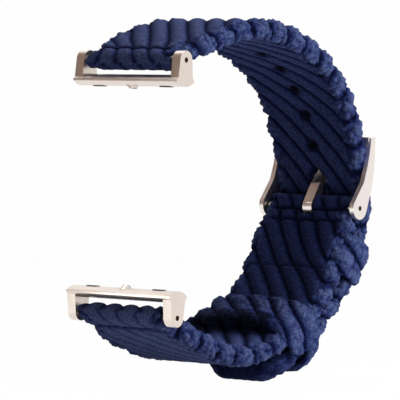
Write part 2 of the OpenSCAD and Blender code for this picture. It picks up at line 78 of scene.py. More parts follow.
level = math.cos(ELEVATION)
ahead = Vector((-math.sin(AZIMUTH) * level, math.cos(AZIMUTH) * level, -math.sin(ELEVATION)))
level_right = Vector((math.cos(AZIMUTH), math.sin(AZIMUTH), 0))
level_up = level_right.cross(ahead)
right = math.cos(ROLL) * level_right + math.sin(ROLL) * level_up
up = math.cos(ROLL) * level_up - math.sin(ROLL) * level_right
across_picture = (BAR_PIXEL[0] - PICTURE / 2) / FOCAL
up_picture = (PICTURE / 2 - BAR_PIXEL[1]) / FOCAL

camera = bpy.data.objects.new("camera", bpy.data.cameras.new("camera"))
camera.data.sensor_width = SENSOR
camera.data.lens = FOCAL / PICTURE * SENSOR
camera.data.clip_start = 0.01
camera.matrix_world = Matrix((right, up, -ahead)).transposed().to_4x4()
camera.location = BAR_END - DISTANCE * (ahead + across_picture * right + up_picture * up)
bpy.context.scene.collection.objects.link(camera)
bpy.context.scene.camera = camera
print("camera at", [round(v, 3) for v in camera.location], "lens", round(camera.data.lens))

# %% [markdown]
# ## Where the straps run
# Each strap follows one smooth curve in the YZ plane: the short one from the buckle's bar down to the
# lower adapter, and the long one from the upper adapter over the top, past the buckle and on over
# the short strap. A curve object could carry it, but the cloth needs a place for any distance along the
# strap and any height over its middle. So the curve is a table of key points, smoothed and measured
# along its length, and `beside` turns a distance, a place across and a height into a point in space.

# %% Curves through key points
SMOOTH_STEPS, SIGHT = 32, 0.5


def run_along(points):
    """The distance along a row of points, from the first of them to each."""
    return np.concatenate([[0], np.cumsum(np.linalg.norm(np.diff(points, axis=0), axis=1))])


def path_through(keys):
    """A smooth curve through its key points, each a (y, z)."""
    keys = [np.array(k, float) for k in keys]
    last = len(keys) - 1
    points = []
    for i in range(last):
        a, b, c, d = keys[max(i - 1, 0)], keys[i], keys[i + 1], keys[min(i + 2, last)]
        bend, twist = 2 * a - 5 * b + 4 * c - d, 3 * b - a - 3 * c + d
        for t in np.arange(SMOOTH_STEPS) / SMOOTH_STEPS:
            points.append(0.5 * (2 * b + (c - a) * t + bend * t**2 + twist * t**3))
    points = np.array(points + [keys[last]])
    run = run_along(points)
    return {"run": run, "y": points[:, 0], "z": points[:, 1], "length": run[-1]}


def heading(path, s):
    """The angle at which a path runs, sighted a little before and after the distance s."""
    middle = np.clip(s, SIGHT, path["length"] - SIGHT)
    y, z = (np.interp(middle + SIGHT, path["run"], path[k]) - np.interp(middle - SIGHT, path["run"], path[k])
            for k in "yz")
    return np.arctan2(z, y)


def beside(path, s, across, lift):
    """Points in metres: s along the path, across it and lifted away from the wrist, all in millimetres."""
    turn, on = heading(path, s), np.clip(s, 0, path["length"])
    y = np.interp(on, path["run"], path["y"]) + (s - on) * np.cos(turn) - lift * np.sin(turn)
    z = np.interp(on, path["run"], path["z"]) + (s - on) * np.sin(turn) + lift * np.cos(turn)
    return np.stack(np.broadcast_arrays(across, y, z), axis=-1) * MM


print("each span of a path gets", SMOOTH_STEPS, "steps")

# %% The two straps' paths, as in the part's source
BAR_Y, UPPER_Z, LOWER_Z = -28.05, 23.5, -23.5
DEPTH, CLASP_RISE, CLASP_DROP, ARCH, BELLY = 56.1, 20.7, 26.3, 7.1, 7.4
CLASP = np.array([28.05, -2.8])
STRAP_R, KEEPER_T, LAYER_GAP = 2, 1, 0.2
STACK = 2 * STRAP_R + KEEPER_T + 2 * LAYER_GAP
OVERLAP, SETTLING, DROOP, DROOP_POWER = 37, (12, 24), 3.1, 14
PASS_GAP, TAIL_KEYS = 0.6, 12

SHORT_KEYS = [(1, 1, 0), (0.94, 0.63, 0.05), (0.86, 0.314, 0.17), (0.728, 0.09, 0.47),
              (0.564, 0, 0.8), (0.373, 0, 1), (0.176, 0, 0.63), (0, 0, 0)]
LONG_KEYS = [(0, 0, 0), (0.16, 0.51, 0), (0.337, 0.92, 0), (0.515, 1, 0.005), (0.675, 0.92, 0.064),
             (0.8255, 0.75, 0.168), (0.945, 0.37, 0.306), (1.012, 0.1, 0.514), (1.05, 0, 0.737)]


def passing(value, start, full):
    """0 up to start and 1 from full on, with a smooth passage; full may be the lower of the two."""
    t = np.clip((value - start) / (full - start), 0, 1)
    return t * t * (3 - 2 * t)


def tail_lift(s):
    """How far the tail lies off the middle of the short strap under it."""
    settled = (KEEPER_T + LAYER_GAP) * passing(s, *SETTLING)
    return STACK - settled + DROOP * (s / OVERLAP) ** DROOP_POWER


below = [(BAR_Y + DEPTH * k[0], LOWER_Z + CLASP_RISE * k[1] - BELLY * k[2]) for k in SHORT_KEYS]
front = [(BAR_Y + DEPTH * k[0], UPPER_Z + ARCH * k[1] - CLASP_DROP * k[2]) for k in LONG_KEYS]
short_path = path_through(below)
tail_at = OVERLAP * np.arange(1, TAIL_KEYS + 1) / TAIL_KEYS
tail = [beside(short_path, s, 0, tail_lift(s))[1:] / MM for s in tail_at]
past_the_clasp = (CLASP[0] + 2 * STRAP_R + PASS_GAP, CLASP[1])
long_path = path_through(front + [past_the_clasp] + tail)
pass_at = long_path["run"][len(front) * SMOOTH_STEPS]
long_end, short_end = long_path["length"], short_path["length"]
print("long strap", round(long_end, 1), "mm, short strap", round(short_end, 1), "mm")

# %% [markdown]
# ## Small helpers
# The finishes and the cloth share a few helpers: one turns a colour read as 0 to 255 into the numbers
# that Blender's shaders expect, one makes an object from a mesh, and two measure noise at many points
# at once, which gives the fuzz its unevenness. The noise is seeded by its place alone, so each run of
# the script gives the same cloth.

# %% Colours, objects and noise
def shade(r, g, b):
    """An sRGB colour of 0 to 255 as the linear colour of a shader."""
    return tuple(((v / 255 + 0.055) / 1.055) ** 2.4 if v > 10 else v / 255 / 12.92 for v in (r, g, b)) + (1,)


def make_object(name, mesh):
    thing = bpy.data.objects.new(name, mesh)
    bpy.context.scene.collection.objects.link(thing)
    return thing


def unevenness(points, amount, size):
    """Smooth noise up to about that amount, at points in metres, with lumps of that many millimetres."""
    flat = points.reshape(-1, 3) / (size * MM)
    return amount * np.array([noise.noise(Vector(p)) for p in flat]).reshape(points.shape[:-1])


def pits(points, size):
    """0 at the middle of each small nub and rising to about 1 in the pits between them."""
    flat = points.reshape(-1, 3) / (size * MM)
    return np.array([noise.voronoi(Vector(p))[0][0] for p in flat]).reshape(points.shape[:-1])


print("middle grey in a shader is", round(shade(128, 128, 128)[0], 3))

# %% [markdown]
# ## Wales
# Corduroy has raised cords, called wales, with a groove between each two. On this band they are fat and
# run slantwise, and each wraps round the edge of the strap as a lobe, which makes the scalloped outline.
# A displacement texture could raise them, but a formula on the mesh keeps the lobes in the true
# outline from every side. `fullness` is 1 on the crest of a wale and 0 in the groove. A small
# exponent gives a round cord and a large one a flat cord with a narrow groove.
#
# `LEAN` says how many wales the slant crosses in half the strap's width, and `EDGE_SHIFT` how much
# of one it gives back round an edge.

# %% Wale formula
WALE_RUN = 5.57
LEAN, EDGE_SHIFT = 2.15, 0.3
SLANT = math.sin(math.pi / 4)
# How dark the painted shade gets down in a groove and in the line at its bottom.
GROOVE_TONE, LINE_DARK, LINE_BREADTH = 0.35, 0.95, 0.4


def bell(off, reach):
    return np.exp(-(off / reach) ** 2)


def fullness(phase, exponent):
    return np.sqrt(1 - np.abs(2 * (phase % 1) - 1) ** exponent)


def crease(phase, breadth):
    """1 in the bottom of a groove and 0 away from it, for the line between two wales: its depth and painted
    shade.
    """
    return bell((1 - np.abs(2 * (phase % 1) - 1)) * WALE_RUN / 2 * SLANT, breadth)


def groove_shade(wale, phase, fade=0):
    """Painted shade of the cloth: 1 on a crest and nearly 0 in the line between two wales, unless that
    fades.
    """
    line = (LINE_DARK - fade) * crease(phase, LINE_BREADTH)
    return (GROOVE_TONE + (1 - GROOVE_TONE) * wale) * (1 - line)


print("a wale comes every", WALE_RUN, "mm along the edge")

# %% [markdown]
# ## Once round a section
# Straps and keepers are both flat tubes of cloth: an outer face, an edge, the face on the wrist's side
# and the other edge. One row of numbers describes such a section, and every other table is made to
# its length, so one formula serves all four sides. A side's share is blurred over a few cells, because
# a step from one side's relief to the next would show as a crack.

# %% Section of a flat tube
OUTER, EDGE, WRIST = 0, 1, 2


def round_the_section(flat_cells, edge_cells):
    """Once round: across (-1 to 1), the outward angle, how far the wales have leant, and the side."""
    flat = np.linspace(-1, 1, flat_cells, endpoint=False)
    turn = np.linspace(0, 1, edge_cells, endpoint=False)
    across = np.concatenate([flat, 0 * turn + 1, -flat, 0 * turn - 1, [-1]])
    degrees = np.concatenate([0 * flat + 90, 90 - 180 * turn, 0 * flat - 90, -90 - 180 * turn, [-270]])
    lean = np.concatenate([
        LEAN * (1 + flat), 2 * LEAN - EDGE_SHIFT * turn, 2 * LEAN - EDGE_SHIFT + LEAN * (1 + flat),
        4 * LEAN - EDGE_SHIFT - EDGE_SHIFT * turn, [4 * LEAN - 2 * EDGE_SHIFT]])
    side = np.concatenate([0 * flat + OUTER, 0 * turn + EDGE, 0 * flat + WRIST, 0 * turn + EDGE, [OUTER]])
    return across, np.radians(degrees), lean, side


def share_of(side, which, reach=4):
    """1 on one side of the section and 0 on the others, as a moving average over a few cells."""
    ring = (side[:-1] == which) * 1.0
    soft = sum(np.roll(ring, k) for k in range(-reach, reach + 1)) / (2 * reach + 1)
    return np.append(soft, soft[0])


print("a section turns through", round(math.degrees(np.ptp(round_the_section(4, 4)[1]))), "degrees")

# %% [markdown]
# ## From a flat grid to closed cloth
# A sewn strap is a tube of cloth pressed flat. The mesh starts as one flat grid, made by Blender's own
# grid operator, and each of its points is then moved to its place round the strap. The long seam and the
# two ends close when points in the same place are merged. Before that, each face corner
# stores how far along and round the strap it lies, as a UV map, and each point stores a painted shade:
# 1 on a lit crest and darker down in the grooves and other places where shade would fall.

# %% Rolling a grid into cloth
SAME_PLACE = 2e-6


def open_edges(shape):
    return sum(not edge.is_manifold for edge in shape.edges)


def close_up(mesh):
    """Merges the seam and the ends and turns the faces outwards."""
    cloth = bmesh.new()
    cloth.from_mesh(mesh)
    bmesh.ops.remove_doubles(cloth, verts=cloth.verts, dist=SAME_PLACE)
    bmesh.ops.dissolve_degenerate(cloth, edges=cloth.edges, dist=SAME_PLACE / 2)
    bmesh.ops.recalc_face_normals(cloth, faces=cloth.faces)
    if cloth.calc_volume(signed=True) < 0:
        bmesh.ops.reverse_faces(cloth, faces=cloth.faces)
    for face in cloth.faces:
        face.smooth = True
    cloth.to_mesh(mesh)
    print(mesh.name, len(mesh.polygons), "faces,", open_edges(cloth), "open edges,",
          round(cloth.calc_volume() * 1e9), "mm3")
    cloth.free()
    return mesh


def roll_up(name, places, along, around, pile_shade):
    """A closed cloth mesh from a table of places, in metres, with its UV map in millimetres."""
    rows, columns = places.shape[:2]
    sheet = bmesh.new()
    bmesh.ops.create_grid(sheet, x_segments=rows - 1, y_segments=columns - 1, size=1)
    mesh = bpy.data.meshes.new(name)
    sheet.to_mesh(mesh)
    sheet.free()
    flat = np.empty(len(mesh.vertices) * 3, np.float32)
    mesh.vertices.foreach_get("co", flat)
    flat = flat.reshape(-1, 3)
    row = np.rint((flat[:, 0] + 1) / 2 * (rows - 1)).astype(int)
    column = np.rint((flat[:, 1] + 1) / 2 * (columns - 1)).astype(int)
    mesh.vertices.foreach_set("co", places[row, column].astype(np.float32).ravel())
    corner = np.empty(len(mesh.loops), np.int32)
    mesh.loops.foreach_get("vertex_index", corner)
    laid_out = np.stack([along[row], around[column]], 1)[corner]
    mesh.uv_layers.new(name="cloth_map").data.foreach_set("uv", laid_out.astype(np.float32).ravel())
    # This attribute holds painted shade: 1 on a lit crest and lower where shade would fall, read by the
    # cloth's colour ramp.
    lightness = mesh.attributes.new("pile_shade", "FLOAT", "POINT")
    lightness.data.foreach_set("value", pile_shade[row, column].astype(np.float32))
    return close_up(mesh)


print("points closer than", SAME_PLACE / MM, "mm are merged")

# %% [markdown]
# ## The straps
# Each strap is four millimetres thick with soft round ends. The long one is padded on its outer face and
# nearly flat inside, and the short one is the other way round, as the picture shows. A keeper pinches
# the strap inside it, and the buckle's legs press its edges straight. This first step makes the
# smooth surface, and the relief comes after it.

# %% The straps' smooth surface
CELL, END_ROWS = 0.27, 9
FLAT_CELLS, EDGE_CELLS = 62, 24
PINCH_REACH, PINCH_SHIFT = 4.5, 0.45
TIP_NARROWING, BOXINESS = 0.8, 0.45


def plateau(off, reach):
    """As a bell, but nearly flat on top and steep at its sides."""
    return np.exp(-(off / reach) ** 4)


def rows_along(start, end):
    """Distances along a strap, closer together in its two round ends."""
    lean_in = STRAP_R * (1 - np.cos(np.linspace(0, math.pi / 2, END_ROWS)))
    middle = np.linspace(start + STRAP_R, end - STRAP_R, int((end - start) / CELL))[1:-1]
    return np.concatenate([start + lean_in, middle, (end - lean_in)[::-1]])


def end_round(s, start, end):
    """1 along a strap and down to 0 at its ends, on a quarter circle."""
    near = np.clip(np.minimum(s - start, end - s), 0, STRAP_R)
    return np.sqrt(np.clip(1 - (1 - near / STRAP_R) ** 2, 0, 1))


def strap_surface(plan, s, across, angle):
    """The place across and the lift of each point, in millimetres."""
    pinched = [(plateau(s - at, PINCH_REACH), sink, share) for at, sink, share in plan.pinches]
    thick = STRAP_R * end_round(s, plan.start, plan.end) * (1 - sum(share * p for p, _, share in pinched))
    half = np.interp(s, *zip(*plan.widths)) / 2
    if plan.tip:
        half = half * np.sqrt(1 - TIP_NARROWING * np.clip((s - plan.end + plan.tip) / plan.tip, 0, 1) ** 2)
    boxy = sum(BOXINESS * plateau(s - at, reach) for at, reach, part in plan.squared if part == "edges")
    roundness = 1 - boxy * (np.sin(angle) > 0)
    u = across * (half - thick) + thick * np.sign(np.cos(angle)) * np.abs(np.cos(angle)) ** roundness
    u = u - sum(sink * p for p, sink, _ in pinched) * (PINCH_SHIFT + (1 - PINCH_SHIFT) * u / half)
    return u, thick * np.sin(angle)


print("a strap has", FLAT_CELLS, "cells across a face and", EDGE_CELLS, "round an edge")

# %% [markdown]
# ## The straps' relief
# Sewn lines run across near the folded ends, where the cloth comes back round a bar, and every
# punched hole has a pinched rim. The edges are felted into small nubs with pits between them. Sculpting
# could do this, but numbers can be checked and changed: all of it is worked out as a depth below the
# smooth surface, beside a painted shade that is 1 on a crest and 0 in a groove and darker in seams, hole
# rims and pits, and the surface is then moved inwards by that depth.

# %% Pressed parts, sewn lines, holes and a painted shadow by a keeper's rim
PRESSED_ALL, PRESSED_EDGE, PRESSED_CALM = 0.65, 0.85, 0.5
# Where a hard end presses the wales flat, its painted shade is pulled towards an even middle tone, darker
# than a crest.
PRESSED_END_SHADE, PRESSED_SHARE = 0.45, 0.7
# RIM_DARK and SEAM_DARKEST set how dark the painted shade is round a hole and in a sewn line.
RIM_REACH, RIM_DEPTH, RIM_DARK, SEAM_DARKEST = 0.5, 0.35, 0.8, 0.9
# Across the strap, the painted shadow in front of a keeper's rim fades out between these places.
RIM_SHADOW_OUT = (7, 12)


def press(plan, s, u, edge, deep, shade_tone):
    """Flattens the wales where the buckle's legs or a hard end press them, calms the nubs, and evens a
    pressed end's painted shade.
    """
    calm = 1
    for at, reach, part in plan.squared:
        pressed = plateau(s - at, reach) * (u < 0 if part == "left" else 1)
        calm = calm * (1 - PRESSED_CALM * pressed)
        deep = deep * (1 - (PRESSED_ALL if part == "all" else PRESSED_EDGE * edge) * pressed)
        if part == "all":
            shade_tone = shade_tone + (PRESSED_END_SHADE - shade_tone) * PRESSED_SHARE * pressed
    return deep, shade_tone, calm


def mark(plan, s, u, side, wale, deep, shade_tone):
    """Sinks the sewn lines and hole rims with painted shade in them, and paints shadow in front of a
    keeper's rim.
    """
    for at, which, sink, breadth, scallop in plan.sewn:
        line = bell(s - at - scallop * (0.5 - wale), breadth) * share_of(side, which)
        deep = np.maximum(deep, sink * line)
        shade_tone = shade_tone * (1 - min(sink, SEAM_DARKEST) * line)
    for at, radius in plan.holes:
        rim = bell(np.clip(np.hypot(s - at, u) - radius, 0, None), RIM_REACH)
        deep = deep + RIM_DEPTH * rim
        shade_tone = shade_tone * (1 - RIM_DARK * rim)
    # A painted shadow on the wrist's side, just in front of the free keeper's rim.
    for at, reach in plan.rubbed:
        rim_shade = bell(s - at, reach) * (1 - passing(u, *RIM_SHADOW_OUT)) * share_of(side, WRIST)
        shade_tone = shade_tone * (1 - rim_shade)
    return deep, shade_tone


print("a hole's rim is", RIM_DEPTH, "mm deep")

# %% The straps' wales and nubs
FAT_DEPTH, EDGE_DEPTH, BORDER_CUT = 1, 1.15, 0.5
FAT_POWER, EDGE_POWER, FLAT_POWER = 2.1, 2.3, 5
FLAT_LINE, FLAT_LINE_BREADTH = 0.45, 0.45
WANDER, EDGE_WANDER, LUMPS, EDGE_LUMPS = (0.07, 9), (0.09, 3), (0.08, 1.2), (0.12, 0.9)
NUB, NUB_RISE, FACE_NUBS, EDGE_NUBS = 1.2, 0.45, 0.1, 0.9
# How much painted shade darkens the pits between the nubs, on a face and on an edge.
PIT_FROM, FACE_PITS, EDGE_PITS = 0.4, 0.2, 1.1


def strap_wales(plan, s, smooth, lean, fat, edge, border):
    """The wales' fullness, their depth below the smooth surface and their painted shade."""
    flat = 1 - fat - edge
    wander = unevenness(smooth, *WANDER) + edge * unevenness(smooth, *EDGE_WANDER)
    phase = (s - plan.valley) / WALE_RUN + lean - 2 * LEAN + EDGE_SHIFT / 2 + wander
    wale = fullness(phase, FAT_POWER * fat + EDGE_POWER * edge + FLAT_POWER * flat)
    depth = (FAT_DEPTH * fat + EDGE_DEPTH * edge + plan.flat_depth * flat) * (1 - BORDER_CUT * border)
    deep = depth * (1 - wale) + FLAT_LINE * plan.flat_depth * flat * crease(phase, FLAT_LINE_BREADTH)
    return wale, deep, groove_shade(wale, phase, plan.line_fade * flat)


def felt_up(smooth, rough, calm, deep, shade_tone):
    """Adds the nubs, with painted shade in the pits between them, and small lumps, all strongest where it is
    rough.
    """
    nubs = pits(smooth, NUB)
    deep = deep + (FACE_NUBS + EDGE_NUBS * rough * calm) * nubs - NUB_RISE * rough * calm
    deep = deep + unevenness(smooth, *LUMPS) + rough * unevenness(smooth, *EDGE_LUMPS)
    return deep, shade_tone * (1 - (FACE_PITS + EDGE_PITS * rough) * np.clip(nubs - PIT_FROM, 0, 1))


print("wales stand", FAT_DEPTH, "mm high on a padded face and", EDGE_DEPTH, "mm on an edge")

# %% A whole strap
BORDER_REACH = 6
PROUDEST, DEEPEST = -0.3, 1.7


def strap(name, path, plan):
    s = rows_along(plan.start, plan.end)[:, None]
    across, angle, lean, side = round_the_section(FLAT_CELLS, EDGE_CELLS)
    flat_side = WRIST if plan.fat_side == OUTER else OUTER
    fat, edge, wrist = share_of(side, plan.fat_side), share_of(side, EDGE), share_of(side, WRIST)
    # two blurred shares are a half each where their sides meet, so four times their product is 1 there
    border = 4 * share_of(side, EDGE, BORDER_REACH) * share_of(side, flat_side, BORDER_REACH)
    u, lift = strap_surface(plan, s, across, angle)
    smooth = beside(path, s + 0 * u, u, lift)

    # Beside the depth goes a painted shade, darker in grooves, sewn lines, hole rims and pits.
    wale, deep, shade_tone = strap_wales(plan, s, smooth, lean, fat, edge, border)
    deep, shade_tone, calm = press(plan, s, u, edge, deep, shade_tone)
    deep, shade_tone = mark(plan, s, u, side, wale, deep, shade_tone)
    deep, shade_tone = felt_up(smooth, np.clip(edge + border, 0, 1), calm, deep, shade_tone)
    deep = np.clip(deep, PROUDEST, DEEPEST) * end_round(s, plan.start, plan.end)
    # Painted shade on the wrist's side, which lies inside the loop, where less light reaches.
    shade_tone = shade_tone * (1 - np.interp(s, *zip(*plan.dull)) * wrist)
    places = beside(path, s + 0 * u, u - deep * np.cos(angle), lift - deep * np.sin(angle))
    around = run_along(np.stack([u[len(u) // 2], lift[len(u) // 2]], 1))
    return roll_up(name, places, s[:, 0], around, np.clip(shade_tone, 0, 1))


print("the relief lies from", PROUDEST, "to", DEEPEST, "mm below the smooth surface")

# %% [markdown]
# ## A plan for each strap
# What sets one strap off from the other is kept apart from the formulas, as a plan of tables. All
# distances are in millimetres, from the buckle's bar on the short strap and from the adapter's bar
# on the long one:
# - `widths` and the painted shade of the wrist's side are read between their rows: the width, and how
#   much painted shade darkens the wrist's side, inside the loop, at each distance
# - `sewn` has distance, side, depth, breadth and scallop of each sewn line, `holes` distance and radius
# - `pinches` has where a keeper squeezes the strap, how far its right edge comes in, and how much
#   thinner it gets
# - `squared` has distance, reach and part, where the wales are pressed flat, and the painted shadow
#   in front of a keeper's rim has distance and reach
# - `fat_side` is the padded side, `flat_depth` how deep the grooves are on the other one and
#   `line_fade` how far the painted shade lines in the grooves fade there
# - `valley` is where a groove meets the right edge, and `tip` how long the narrowing of the end is.

# %% Both straps before their holes
STRAP_W, BUCKLE_W, TIP_W, ADAPTER_FOLD, BUCKLE_FOLD, FOLD_PUFF = 23.6, 21.3, 20.9, 20.4, 20.5, 0.4
HOLE_R, HOLE_PITCH, FREE_HOLES, TONGUE_UP, TONGUE_HOLE_R = 1.1, 6.7, 5, 6.545, 1.65
in_use = pass_at - TONGUE_UP
free_holes = [(in_use - k * HOLE_PITCH, HOLE_R) for k in range(1, FREE_HOLES + 1)]

long_plan = SimpleNamespace(
    start=-STRAP_R, end=long_end, tip=7, fat_side=OUTER, valley=22.25, flat_depth=0.55, line_fade=0,
    widths=[(2.8, ADAPTER_FOLD), (6.5, STRAP_W), (25, STRAP_W), (60, 22.4), (pass_at - 11, 22),
            (pass_at - 9.5, BUCKLE_W), (pass_at - 5.5, BUCKLE_W), (pass_at - 4, 21.8), (pass_at - 1.5, 22),
            (pass_at + 2, 21.8), (pass_at + 5, TIP_W), (long_end, TIP_W)],
    # painted shade inside the loop, on the wrist's side
    dull=[(0, 0.3), (50, 0.4), (70, 0.35)],
    sewn=[(1.8, OUTER, 1.1, 0.5, 0.4), (9.5, WRIST, 0.5, 0.5, 0.3)],
    holes=free_holes + [(in_use, TONGUE_HOLE_R)],
    pinches=[(pass_at + 9.2, 0.25, 0.15), (pass_at, 0.7, 0)],
    squared=[(pass_at - 5, 9, "edges"), (long_end, 8, "all")],
    rubbed=[])
short_plan = SimpleNamespace(
    start=-STRAP_R - FOLD_PUFF, end=short_end + STRAP_R, tip=0, fat_side=WRIST, valley=0, flat_depth=0.18,
    line_fade=0.7,
    widths=[(2.4, BUCKLE_FOLD), (4.2, STRAP_W), (short_end - 6.5, STRAP_W), (short_end - 2.8, ADAPTER_FOLD)],
    # painted shade inside the loop, on the wrist's side
    dull=[(0, 0.45), (28, 0.5), (38, 0.1)],
    sewn=[(1.2, WRIST, 1.0, 0.35, 0.2), (3.9, WRIST, 0.7, 0.4, 1.1), (14.3, WRIST, 0.3, 0.4, 0.8),
          (short_end - 1.8, OUTER, 0.8, 0.5, 0.4)],
    holes=[],
    pinches=[(9.6, 1.6, 0), (30, 1.7, 0)],
    squared=[(47, 9, "left")],
    # painted shadow in front of the free keeper's rim
    rubbed=[(35.6, 3)])
long_mesh = strap("long_strap_cloth", long_path, long_plan)
short_mesh = strap("short_strap_cloth", short_path, short_plan)

# %% [markdown]
# ## Punching the holes
# A leather punch would cut the holes in the real strap, and a Boolean cuts them here: each cutter is a
# cylinder from Blender's cone operator, placed square to the strap. The tongue swings a
# little in its hole, so its cutter is the hull round three cylinders. The spring bars' bores are cut
# in the same way, so that the tubes turn freely in the folded ends.

# %% Straight cutters
CUTTER_SIDES = 24


def object_from(shape, name):
    """Makes an object from a bmesh, which is freed."""
    mesh = bpy.data.meshes.new(name)
    shape.to_mesh(mesh)
    shape.free()
    return make_object(name, mesh)


def turned_to(direction):
    """The turn from straight up to that direction."""
    return Vector((0, 0, 1)).rotation_difference(Vector(direction)).to_matrix().to_4x4()


def add_cylinder(tool, radius, length, matrix, sides=CUTTER_SIDES):
    bmesh.ops.create_cone(tool, cap_ends=True, segments=sides, radius1=radius * MM, radius2=radius * MM,
                          depth=length * MM, matrix=matrix)


def straight_cutter(name, radius, length, place, direction=(1, 0, 0)):
    tool = bmesh.new()
    add_cylinder(tool, radius, length, Matrix.Translation(Vector(place)) @ turned_to(direction))
    return object_from(tool, name)


print("a cutter has", CUTTER_SIDES, "sides")

# %% Cutters for the tongue and its hub
HUB_R, TONGUE_CUT, SWING = 1.85, 16, 8
TONGUE_BEND = np.array([34.078, 10.0055])
SLOT_W, SLOT_L, SLOT_CUT = 2.9, 2.2, 8
FLAT_ENOUGH = math.radians(0.5)


def wrap(tool, name):
    """One clean hull round everything in the tool, as an object."""
    bmesh.ops.delete(tool, geom=tool.edges[:] + tool.faces[:], context="EDGES_FACES")
    inside = bmesh.ops.convex_hull(tool, input=tool.verts)["geom_interior"]
    bmesh.ops.delete(tool, geom=[g for g in inside if isinstance(g, bmesh.types.BMVert)], context="VERTS")
    bmesh.ops.dissolve_limit(tool, angle_limit=FLAT_ENOUGH, verts=tool.verts, edges=tool.edges)
    print(name, "hull with", len(tool.faces), "faces,", open_edges(tool), "open edges")
    return object_from(tool, name)


def tongue_cutter():
    """The hull round the tongue's hole as the tongue lifts from rest to the end of its swing."""
    tool = bmesh.new()
    rest = math.atan2(*(TONGUE_BEND - CLASP)[::-1])
    for lifted in (0, SWING / 2, SWING):
        angle = rest - math.radians(lifted)
        way = Vector((0, math.cos(angle), math.sin(angle)))
        middle = Vector((0, *CLASP)) * MM + way * (HUB_R + TONGUE_CUT / 2) * MM
        add_cylinder(tool, TONGUE_HOLE_R, TONGUE_CUT, Matrix.Translation(middle) @ turned_to(way))
    return wrap(tool, "tongue_cutter")


def slot_cutter(place):
    """A block that clears the tongue's hub out of the short strap's fold."""
    slot = bmesh.new()
    bmesh.ops.create_cube(slot, size=1)
    bmesh.ops.scale(slot, vec=(SLOT_W * MM, SLOT_CUT * MM, SLOT_CUT * MM), verts=slot.verts)
    bmesh.ops.translate(slot, vec=(0, (SLOT_L - SLOT_CUT / 2) * MM, 0), verts=slot.verts)
    tilt = Matrix.Rotation(float(heading(short_path, 0.0)), 3, "X")
    bmesh.ops.rotate(slot, cent=(0, 0, 0), matrix=tilt, verts=slot.verts)
    bmesh.ops.translate(slot, vec=place, verts=slot.verts)
    return object_from(slot, "slot_cutter")


print("the tongue's hole is cut for a swing of", SWING, "degrees")

# %% Cut both straps
PUNCH_L, BORE_L, BORE_R = 9, 40, 0.8


def combine(piece, tools, operation, solver):
    """Applies one Boolean for each tool, then takes the tools away."""
    for tool in tools:
        step = piece.modifiers.new(tool.name, "BOOLEAN")
        step.operation, step.solver, step.object = operation, solver, tool
    bpy.context.view_layer.update()
    evaluated = piece.evaluated_get(bpy.context.evaluated_depsgraph_get())
    finished = bpy.data.meshes.new_from_object(evaluated)
    piece.modifiers.clear()
    finished.name = piece.name
    piece.data = finished
    for tool in tools:
        bpy.data.objects.remove(tool)


def cut(piece, cutters, solver="MANIFOLD"):
    combine(piece, cutters, "DIFFERENCE", solver)
    print(piece.name, "after its holes:", len(piece.data.polygons), "faces")


upper_bar, lower_bar = (0, BAR_Y * MM, UPPER_Z * MM), (0, BAR_Y * MM, LOWER_Z * MM)
clasp_bar = (0, CLASP[0] * MM, CLASP[1] * MM)
long_strap = make_object("long_strap_cloth", long_mesh)
holes = []
for number, (at, radius) in enumerate(free_holes):
    turn = float(heading(long_path, at))
    square = (0, -math.sin(turn), math.cos(turn))
    middle = beside(long_path, at, 0, 0)
    holes.append(straight_cutter("hole_cutter_%d" % number, radius, PUNCH_L, middle, square))
cut(long_strap, holes + [tongue_cutter(), straight_cutter("upper_bore", BORE_R, BORE_L, upper_bar)])

short_strap = make_object("short_strap_cloth", short_mesh)
cut(short_strap, [slot_cutter(clasp_bar), straight_cutter("buckle_bore", BORE_R, BORE_L, clasp_bar),
                  straight_cutter("lower_bore", BORE_R, BORE_L, lower_bar)])

# %% [markdown]
# ## The keepers
# A keeper is a short band of the same cloth, sewn into a ring round both straps. Its ring is worked out
# as a rounded outline at each place along the strap, and the cloth's thickness is then laid on it, with
# rolled rims. Its wales run slantwise over the faces and nearly straight round the edges, so at the
# edge they stand side by side like fingers, and each ends in a round tip. The front rim of the free
# keeper reaches forward on the wrist's side and swells a little, and painted shade darkens it there.
# Only the outer skin is padded. The inner skin, against the straps, and the grooves and pits get painted
# shade too.

# %% A keeper's ring
RING_CELLS, CORNER_STEPS, BELLY_STEPS = 240, 16, 40


def ring_outline(low, high, bulge):
    """A keeper's inner outline: half width, lift and radius of its low and high corners, once round."""
    points = []
    for (half, lift, radius), way, start in ((high, 1, 0), (high, -1, 90), (low, -1, 180), (low, 1, 270)):
        rise = -1 if start < 180 else 1
        if start == 270:
            for v in np.linspace(-1, 1, BELLY_STEPS)[1:-1]:
                points.append((v * (low[0] - low[2]), low[1] - bulge * (1 - v * v)))
        for a in np.radians(np.linspace(start, start + 90, CORNER_STEPS)):
            points.append((way * (half - radius) + radius * math.cos(a),
                           lift + rise * radius + radius * math.sin(a)))
    points = np.array(points + points[:1])
    run = run_along(points)
    even = np.linspace(0, run[-1], RING_CELLS + 1)
    ring = np.stack([np.interp(even, run, points[:, k]) for k in (0, 1)], 1)
    way = np.roll(ring[:-1], -1, 0) - np.roll(ring[:-1], 1, 0)
    out = np.stack([way[:, 1], -way[:, 0]], 1) / np.linalg.norm(way, axis=1)[:, None]
    return ring, np.vstack([out, out[:1]]), even


print("a ring has", RING_CELLS, "cells")

# %% How a keeper's wales and rims run
KEEPER_RUN, KEEPER_POWER, FACE_TILT = 5.3, 2.2, 0.8
RIM_NOTCH, FACE_NOTCH, RIM_POWER = 1.3, 0.4, 1.5
ON_THE_EDGE, OUTER_LIFT = (7, 10), (2, 6)


